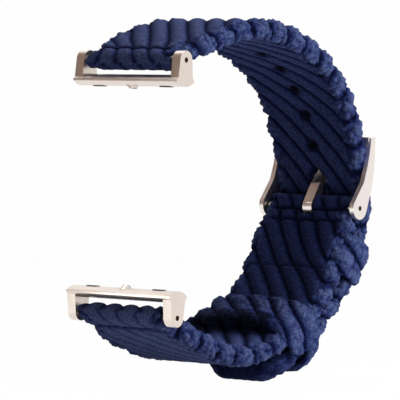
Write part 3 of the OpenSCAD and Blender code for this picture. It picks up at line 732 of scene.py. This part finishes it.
def wale_turns(ring, out, step, slant):
    """How many wales have passed, counted round the ring from its lower right corner."""
    rate = np.where(np.abs(out[:, 1]) > FACE_TILT, 1, slant)
    turns = np.concatenate([[0], np.cumsum(rate[1:])]) * step / WALE_RUN
    turns = turns / turns[-1] * round(turns[-1])
    return turns - turns[np.argmax(ring[:, 0] - ring[:, 1])]


def drawn_forward(plan, ring, turns, forth):
    """How far each point comes forward: the front rim in fingers, the back one where it is trimmed."""
    rim_at = np.interp(ring[:, 1], *zip(*plan.reach))
    rim_wale = fullness((plan.width / 2 + rim_at - plan.groove) / KEEPER_RUN - turns, KEEPER_POWER)
    fingers = FACE_NOTCH + (1 - FACE_NOTCH) * np.interp(ring[:, 0], ON_THE_EDGE, (0, 1))
    front = forth ** RIM_POWER * (rim_at - RIM_NOTCH * (1 - rim_wale) * fingers)
    return front + (1 - forth) ** RIM_POWER * plan.trim * passing(ring[:, 1], *OUTER_LIFT)


print("a keeper's rim is notched", RIM_NOTCH, "mm between its fingers")

# %% A whole keeper
KEEPER_FLAT, KEEPER_RIM, RIM_SOFT = 30, 12, 3
RIM_DROP, DROP_FROM, SWELL_AT, SWELL_REACH = 0.12, 0.55, 2.3, 1.6
# The lining share keeps the keeper's inner skin, against the straps, darker as painted shade.
EDGE_SKIN, LINING_SHADE, LEAST_PUSH, TUCK = 0.9, 0.25, 0.2, 0.5
KEEPER_DEPTH, KEEPER_RISE, KEEPER_NUBS = 1.15, 0.28, 0.5
KEEPER_WANDER, KEEPER_LUMPS = (0.06, 8), (0.09, 1.1)
WRIST_LIFT, TIGHT_LIFT = (0.5, -1.5), (-1, 5)
# Where the painted shade lies on the free keeper's wrist side, towards its front rim.
RIM_SHADE_OUT, RIM_SHADE_FROM, RIM_SHADE_BEHIND = (6, 10.5), 0.2, 1.4


def keeper(name, plan):
    across, angle, _, side = round_the_section(KEEPER_FLAT, KEEPER_RIM)
    half_t = plan.pad / 2
    face = plan.width / 2 - half_t
    over = across * face + half_t * np.cos(angle)
    padded = 1 - RIM_DROP * passing(np.abs(across), DROP_FROM, 1)
    skin = share_of(side, OUTER, RIM_SOFT) + EDGE_SKIN * share_of(side, EDGE, RIM_SOFT)
    forth = (np.clip(over, -face, face) / face + 1) / 2
    swell = bell(over - plan.width / 2 + SWELL_AT * half_t, SWELL_REACH)
    places, pile_shades = [], []
    for k, at in enumerate(over):
        out_k = math.sin(angle[k])
        top = (plan.high[0], plan.high[1] + tail_lift(plan.middle + at), plan.high[2])
        ring, out, even = ring_outline(plan.low, top, plan.bulge)
        tight = plan.tight * np.interp(ring[:, 1], TIGHT_LIFT, (1, 0))
        ring[:, 0] -= tight * np.clip(ring[:, 0] / plan.low[0], 0, 1)
        wrist = passing(ring[:, 1], *WRIST_LIFT)
        turns = wale_turns(ring, out, even[1], plan.slant)
        forward = drawn_forward(plan, ring, turns, forth[k])
        along = plan.middle + at + forward

        thick = half_t * (1 + padded[k] * out_k) + plan.puff * swell[k] * wrist * max(out_k, 0)
        base = ring + out * thick[:, None]
        smooth = beside(short_path, along, base[:, 0], base[:, 1])
        phase = (at + forward - plan.groove) / KEEPER_RUN - turns + unevenness(smooth, *KEEPER_WANDER)
        wale, nubs = fullness(phase, KEEPER_POWER), pits(smooth, NUB)
        deep = KEEPER_DEPTH * (1 - wale) + KEEPER_NUBS * nubs + unevenness(smooth, *KEEPER_LUMPS)
        deep = skin[k] * (deep - KEEPER_RISE)
        place = base - out * (deep * max(out_k, LEAST_PUSH))[:, None]
        along = along - TUCK * deep * math.cos(angle[k])
        places.append(beside(short_path, along, place[:, 0], place[:, 1]))

        # Painted shade in the keeper's grooves and in the pits between its nubs.
        mottle_and_groove_shade = groove_shade(wale, phase) * (1 - np.clip(nubs - PIT_FROM, 0, 1))
        # Painted shade over the front of the wrist side, where the rim rolls away from the light.
        rim_shade = plan.rubbed * passing(at, RIM_SHADE_FROM, plan.width / 2 - RIM_SHADE_BEHIND)
        rim_shade = rim_shade * (1 - passing(ring[:, 0], *RIM_SHADE_OUT)) * wrist
        # The inner skin gets painted shade, and so does the wrist side near the front rim.
        pile_shades.append(mottle_and_groove_shade * (skin[k] + LINING_SHADE * (1 - skin[k])) * (1 - rim_shade))
    around = run_along(np.stack([over, half_t * np.sin(angle)], 1))
    pile_shade = np.clip(np.array(pile_shades).T, 0, 1)
    return make_object(name, roll_up(name, np.array(places).transpose(1, 0, 2), even, around, pile_shade))


print("a keeper has", KEEPER_FLAT, "cells across a face and", KEEPER_RIM, "round a rim")

# %% [markdown]
# ## A plan for each keeper
# As with the straps, the numbers stand apart, in millimetres. `middle` is the distance from the buckle's
# bar and `width` how much of the strap the keeper covers. `low` and `high` are half width, lift and radius
# of the ring's corners, `bulge` bows its belly outwards and `pad` is the cloth's thickness. `groove` is
# where a groove passes the right corner, and `slant` how fast it runs forward on the edge. `reach`
# has, at each lift, how far the front rim comes forward. One number says how dark the painted shade
# near that rim is on the wrist's side, `tight` how far the right side is pulled in, `puff` how far the
# rim swells and `trim` how much shorter the keeper is at its back on the outer side.

# %% Both keepers
fixed_keeper = keeper("fixed_keeper_cloth", SimpleNamespace(
    middle=9.25, width=8, low=(10.7, -0.3, 2.1), high=(10.7, 1.95, 2.1), bulge=-1.1, pad=1.1,
    groove=-1.75, slant=0.45, reach=[(-1, 2.2), (1.6, 0.8), (4, 1), (6.5, -0.6)],
    rubbed=0, tight=0, puff=0, trim=0))
free_keeper = keeper("free_keeper_cloth", SimpleNamespace(
    middle=29, width=8.5, low=(11.9, -2.3, 2.7), high=(10.85, 2.25, 3.1), bulge=0.9, pad=1.55,
    groove=-0.3, slant=0.35, reach=[(0.3, 2.6), (2.7, 1), (4.4, -2.4), (6, -1.4)],
    # painted shade on the wrist side of the front rim
    rubbed=1, tight=1.6, puff=0.7, trim=2))

# %% [markdown]
# ## Finishes
# Every finish is built from nodes. The corduroy is navy on its crests, and painted shade darkens it down
# in its grooves. The colour follows the stored painted shade and is broken up by noise. Two sizes of
# fine bump make the felted threads, and a sheen, set on the shader itself, gives the soft glow of pile
# at its edges.

# %% Node helpers
def new_material(name):
    material = bpy.data.materials.new(name)
    material.use_nodes = True
    return material, material.node_tree, material.node_tree.nodes["Principled BSDF"]


def ramp(tree, source, stops):
    """A colour ramp that reads the source, with its stops as (position, colour)."""
    node, stops = tree.nodes.new("ShaderNodeValToRGB"), list(stops)
    while len(node.color_ramp.elements) < len(stops):
        node.color_ramp.elements.new(0.5)
    for element, (at, colour) in zip(node.color_ramp.elements, stops):
        element.position, element.color = at, colour
    tree.links.new(source, node.inputs["Fac"])
    return node.outputs["Color"]


def grain(tree, scale, detail):
    """Noise on Object coordinates, with about that many grains to the metre."""
    place = tree.nodes.new("ShaderNodeTexCoord")
    texture = tree.nodes.new("ShaderNodeTexNoise")
    texture.inputs["Scale"].default_value = scale
    texture.inputs["Detail"].default_value = detail
    tree.links.new(place.outputs["Object"], texture.inputs["Vector"])
    return texture.outputs["Fac"]


def bump(tree, height, strength, distance, before=None):
    node = tree.nodes.new("ShaderNodeBump")
    node.inputs["Strength"].default_value = strength
    node.inputs["Distance"].default_value = distance
    tree.links.new(height, node.inputs["Height"])
    if before:
        tree.links.new(before, node.inputs["Normal"])
    return node.outputs["Normal"]


def wear(piece, finish, body, node):
    """Puts a finish on a new piece, lets it ride on its body and stand for its CAD node."""
    piece.data.materials.clear()
    piece.data.materials.append(finish)
    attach(piece, body)
    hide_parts(node)
    print(piece.name, "wears", finish.name, "and rides on", body)


# %% Corduroy
# Colours for the stored painted shade: near black where it is deepest, navy on a lit crest.
PILE_SHADE_STOPS = [(0, shade(2, 5, 21)), (0.3, shade(12, 21, 60)), (0.65, shade(40, 50, 90)),
              (1, shade(65, 75, 111))]
FLECK_STOPS = [(0.34, shade(112, 112, 132)), (0.62, shade(255, 255, 255))]

corduroy, tree, cloth = new_material("navy_corduroy")
pile_shade = tree.nodes.new("ShaderNodeAttribute")
pile_shade.attribute_name = "pile_shade"
mixed = tree.nodes.new("ShaderNodeMix")
mixed.data_type, mixed.blend_type = "RGBA", "MULTIPLY"
mixed.inputs["Factor"].default_value = 0.8
tree.links.new(ramp(tree, pile_shade.outputs["Fac"], PILE_SHADE_STOPS), mixed.inputs["A"])
tree.links.new(ramp(tree, grain(tree, scale=2600, detail=3), FLECK_STOPS), mixed.inputs["B"])
tree.links.new(mixed.outputs["Result"], cloth.inputs["Base Color"])
fuzz = bump(tree, grain(tree, scale=3600, detail=3), strength=0.8, distance=0.0003)
felt = bump(tree, grain(tree, scale=1500, detail=4), strength=0.5, distance=0.0004, before=fuzz)
tree.links.new(felt, cloth.inputs["Normal"])
cloth.inputs["Roughness"].default_value = 0.95
cloth.inputs["Specular IOR Level"].default_value = 0.08
cloth.inputs["Sheen Weight"].default_value = 0.2
cloth.inputs["Sheen Roughness"].default_value = 0.45
cloth.inputs["Sheen Tint"].default_value = shade(120, 135, 215)

wear(long_strap, corduroy, "band", "long_strap")
wear(short_strap, corduroy, "band", "short_strap")
wear(fixed_keeper, corduroy, "band", "fixed_keeper")
wear(free_keeper, corduroy, "free_keeper", "free_keeper")

# %% [markdown]
# ## Metal
# The adapters and the buckle are cast and bead blasted, then given a warm silver coat, with a soft
# glow rather than a mirror. Their machined edges are slightly rounded, and those thin bright edges are
# what the eye reads as metal. So each solid is copied, its loose triangles are merged into clean
# faces, and a bevel rounds the edges. The tongue gets a wedge at its foot, so that its front is
# one smooth strip from the hub upwards. The steel bars and springs keep their solids.

# %% Metal finishes
TARNISH, ROUGH_SPREAD, PATCHES = 0.975, 0.03, (0.3, 0.7)


def metal(name, colour, roughness, grit):
    material, tree, shader = new_material(name)
    tints = shade(*[v * TARNISH for v in colour]), shade(*colour)
    tint = ramp(tree, grain(tree, scale=260, detail=3), zip(PATCHES, tints))
    tree.links.new(tint, shader.inputs["Base Color"])
    greys = [(level,) * 3 + (1,) for level in (roughness - ROUGH_SPREAD, roughness + ROUGH_SPREAD)]
    rub = ramp(tree, grain(tree, scale=700, detail=4), zip(PATCHES, greys))
    tree.links.new(rub, shader.inputs["Roughness"])
    blasted = bump(tree, grain(tree, scale=9000, detail=2), strength=grit, distance=0.00002)
    tree.links.new(blasted, shader.inputs["Normal"])
    shader.inputs["Metallic"].default_value = 1
    return material


warm_silver = metal("warm_silver", (233, 221, 211), roughness=0.32, grit=0.25)
pale_silver = metal("pale_silver", (244, 235, 230), roughness=0.34, grit=0.25)
bar_steel = metal("bar_steel", (190, 186, 182), roughness=0.28, grit=0.15)
# Dark steel for the pins, as painted shade for the dark hole round a pin's end.
hole_shade_steel = metal("hole_shade_steel", (74, 60, 54), roughness=0.45, grit=0.2)
print("metals:", [m.name for m in (warm_silver, pale_silver, bar_steel, hole_shade_steel)])

# %% The tongue's root
TONGUE_W, TONGUE_HALF_T, ROOT_RISE, SHANK_OFFSET, HUB_BORE_L = 2.2, 0.65, 4.4, 0.72, 10


def tongue_root():
    """The wedge that carries the front of the tongue smoothly down over its hub."""
    way = (TONGUE_BEND - CLASP) / np.linalg.norm(TONGUE_BEND - CLASP)
    shank = CLASP + ROOT_RISE * way + SHANK_OFFSET * np.array([-way[1], way[0]])
    sideways = Matrix.Rotation(math.pi / 2, 4, "Y")
    root = bmesh.new()
    for (y, z), radius in ((CLASP, HUB_R), (shank, TONGUE_HALF_T)):
        place = Matrix.Translation((0, y * MM, z * MM)) @ sideways
        add_cylinder(root, radius, TONGUE_W, place, 2 * CUTTER_SIDES)
    return wrap(root, "tongue_root")


root = tongue_root()

# %% Rounded copies of the cast pieces
MERGE_ANGLE, SHARP_ANGLE, BEVEL_ANGLE = math.radians(0.6), math.radians(50), math.radians(35)
BEVEL_SEGMENTS = 3


def merged_copy(node):
    """A copy of a CAD solid with its loose triangles joined."""
    solid = bmesh.new()
    solid.from_mesh(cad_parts[node].data)
    bmesh.ops.remove_doubles(solid, verts=solid.verts, dist=SAME_PLACE)
    bmesh.ops.recalc_face_normals(solid, faces=solid.faces)
    return object_from(solid, node + "_cast")


def rounded(node, finish, edge, added=()):
    """A cast piece with small bevels, in place of the node of that name and on the body of that name."""
    thing = merged_copy(node)
    if added:
        combine(thing, added, "UNION", "EXACT")
        cut(thing, [straight_cutter("tongue_bore", BORE_R, HUB_BORE_L, clasp_bar)], "EXACT")
    piece = bmesh.new()
    piece.from_mesh(thing.data)
    bmesh.ops.remove_doubles(piece, verts=piece.verts, dist=SAME_PLACE)
    bmesh.ops.dissolve_limit(piece, angle_limit=MERGE_ANGLE, verts=piece.verts, edges=piece.edges)
    for face in piece.faces:
        face.smooth = True
    piece.to_mesh(thing.data)
    piece.free()
    thing.data.set_sharp_from_angle(angle=SHARP_ANGLE)
    soft = thing.modifiers.new("soft_edges", "BEVEL")
    soft.width, soft.segments = edge * MM, BEVEL_SEGMENTS
    soft.limit_method, soft.angle_limit = "ANGLE", BEVEL_ANGLE
    wear(thing, finish, node, node)


rounded("buckle_frame", pale_silver, edge=0.22)
rounded("buckle_tongue", pale_silver, edge=0.16, added=[root])
rounded("upper_adapter", warm_silver, edge=0.16)
rounded("lower_adapter", warm_silver, edge=0.16)

# %% [markdown]
# ## Rubber, and the solids that stay
# The pads in the rails are dark rubber with a fine grain, and the bars, springs and locks are bare
# steel. The pins get a dark steel, as painted shade for the dark hole round a pin's end. Their solids
# are already the right shape, so they stay as they are and only get a finish, told by their names.

# %% Finishes of the solids
rubber, tree, shader = new_material("pad_rubber")
mottle_and_groove_shade = ramp(tree, grain(tree, scale=1200, detail=4), zip(PATCHES, (shade(22, 22, 24), shade(38, 38, 40))))
tree.links.new(mottle_and_groove_shade, shader.inputs["Base Color"])
pimples = bump(tree, grain(tree, scale=6000, detail=2), strength=0.4, distance=0.00003)
tree.links.new(pimples, shader.inputs["Normal"])
shader.inputs["Roughness"].default_value = 0.75

FINISHES = {"pads": rubber, "button": warm_silver, "collar": warm_silver, "pin": hole_shade_steel}
for name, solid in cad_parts.items():
    solid.data.materials.clear()
    solid.data.materials.append(next((FINISHES[word] for word in FINISHES if word in name), bar_steel))
print("finishes set on", len(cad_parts), "solids")

# %% [markdown]
# ## Floor, backdrop and light
# The picture has a plain white ground and soft studio light. The floor and the world behind it are white
# to the camera by their own colour, and the floor still takes a faint shadow. The lamps are soft boxes:
# one above, one on the right that lights the edges of the straps, and a small low strip in front,
# near the adapters, whose light fades towards the back of the loop. A metal face that turns to the
# front would mirror plain white, so a dark card stands there, unseen by the camera, and gives those
# faces their tan.

# %% A white floor
FLOOR_SIZE, FLOOR_GAP, SELF_WHITE = 3, 0.00005, 0.985
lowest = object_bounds()[0].z


def seen_directly(tree):
    """1 for rays that show the background: camera, glossy and transmission rays."""
    path = tree.nodes.new("ShaderNodeLightPath")
    most = path.outputs["Is Camera Ray"]
    for kind in ("Is Glossy Ray", "Is Transmission Ray"):
        either = tree.nodes.new("ShaderNodeMath")
        either.operation = "MAXIMUM"
        tree.links.new(most, either.inputs[0])
        tree.links.new(path.outputs[kind], either.inputs[1])
        most = either.outputs[0]
    return most


ground = bmesh.new()
bmesh.ops.create_grid(ground, x_segments=8, y_segments=8, size=FLOOR_SIZE / 2)
bmesh.ops.translate(ground, vec=(0, 0, lowest - FLOOR_GAP), verts=ground.verts)
floor = object_from(ground, "floor")
floor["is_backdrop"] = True

paper, tree, shader = new_material("white_paper")
shader.inputs["Base Color"].default_value = shade(235, 235, 235)
shader.inputs["Roughness"].default_value = 0.9
shader.inputs["Specular IOR Level"].default_value = 0.1
glow = tree.nodes.new("ShaderNodeEmission")
glow.inputs["Color"].default_value = (1, 1, 1, 1)
share = tree.nodes.new("ShaderNodeMath")
share.operation = "MULTIPLY"
share.inputs[1].default_value = SELF_WHITE
tree.links.new(seen_directly(tree), share.inputs[0])
blend = tree.nodes.new("ShaderNodeMixShader")
tree.links.new(share.outputs[0], blend.inputs["Fac"])
tree.links.new(shader.outputs["BSDF"], blend.inputs[1])
tree.links.new(glow.outputs["Emission"], blend.inputs[2])
tree.links.new(blend.outputs["Shader"], tree.nodes["Material Output"].inputs["Surface"])
floor.data.materials.append(paper)
print("floor at", round(lowest / MM, 2), "mm")

# %% A white world that lights the band only faintly
AMBIENT, OPEN_WHITE = 0.03, 0.99
world = bpy.data.worlds.new("studio")
world.use_nodes = True
bpy.context.scene.world = world
tree = world.node_tree
room = tree.nodes["Background"]
room.inputs["Color"].default_value = (1, 1, 1, 1)
strength = tree.nodes.new("ShaderNodeMapRange")
strength.inputs["To Min"].default_value = AMBIENT
strength.inputs["To Max"].default_value = OPEN_WHITE
tree.links.new(seen_directly(tree), strength.inputs["Value"])
tree.links.new(strength.outputs["Result"], room.inputs["Strength"])
print("the world lights with", AMBIENT, "and shows as", OPEN_WHITE)

# %% A dark card for the metal
CARD_SIZE, CARD_PLACE = 0.42, Vector((-0.2, -0.22, 0.17))
card = bmesh.new()
bmesh.ops.create_grid(card, x_segments=4, y_segments=4, size=CARD_SIZE / 2)
facing = (-CARD_PLACE).to_track_quat("Z", "Y").to_matrix().to_4x4()
bmesh.ops.transform(card, matrix=Matrix.Translation(CARD_PLACE) @ facing, verts=card.verts)
dark_card = object_from(card, "dark_card")
dark_card.visible_camera = dark_card.visible_shadow = False
dark_card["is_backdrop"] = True
card_felt, tree, shader = new_material("dark_card")
shader.inputs["Base Color"].default_value = shade(134, 114, 102)
shader.inputs["Roughness"].default_value = 1
dark_card.data.materials.append(card_felt)
print("dark card at", [round(v, 2) for v in CARD_PLACE])

# %% Soft boxes
MIDDLE = Vector((0, 0, -0.002))


def soft_box(name, place, aim, size, power):
    lamp = bpy.data.lights.new(name, "AREA")
    lamp.shape, lamp.size, lamp.size_y, lamp.energy = "RECTANGLE", size[0], size[1], power
    box = bpy.data.objects.new(name, lamp)
    bpy.context.scene.collection.objects.link(box)
    box.location = place
    box.rotation_euler = (Vector(aim) - Vector(place)).to_track_quat("-Z", "Y").to_euler()
    print(name, "at", place, "with", power, "W")
    return box


soft_box("top_box", (-0.02, 0.03, 0.33), MIDDLE, size=(0.25, 0.25), power=0.85)
side_box = soft_box("side_box", (0.33, 0.08, 0.08), MIDDLE, size=(0.25, 0.25), power=2.5)
side_box.visible_glossy = False
soft_box("front_box", (-0.02, -0.1, -0.026), (0, -0.02, -0.032), size=(0.1, 0.012), power=0.012)
bpy.context.scene.view_settings.view_transform = "Standard"

# %% [markdown]
# ## Both boxes
# The dressed band may stand only slightly proud of the CAD model, because the size is the CAD model's.
# Both boxes are printed, side by side.

# %% Print both boxes and finish
new_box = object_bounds()
for axis, (was, now) in enumerate(zip(cad_box[1] - cad_box[0], new_box[1] - new_box[0])):
    print("XYZ"[axis], "CAD", round(was / MM, 2), "mm, dressed", round(now / MM, 2), "mm")
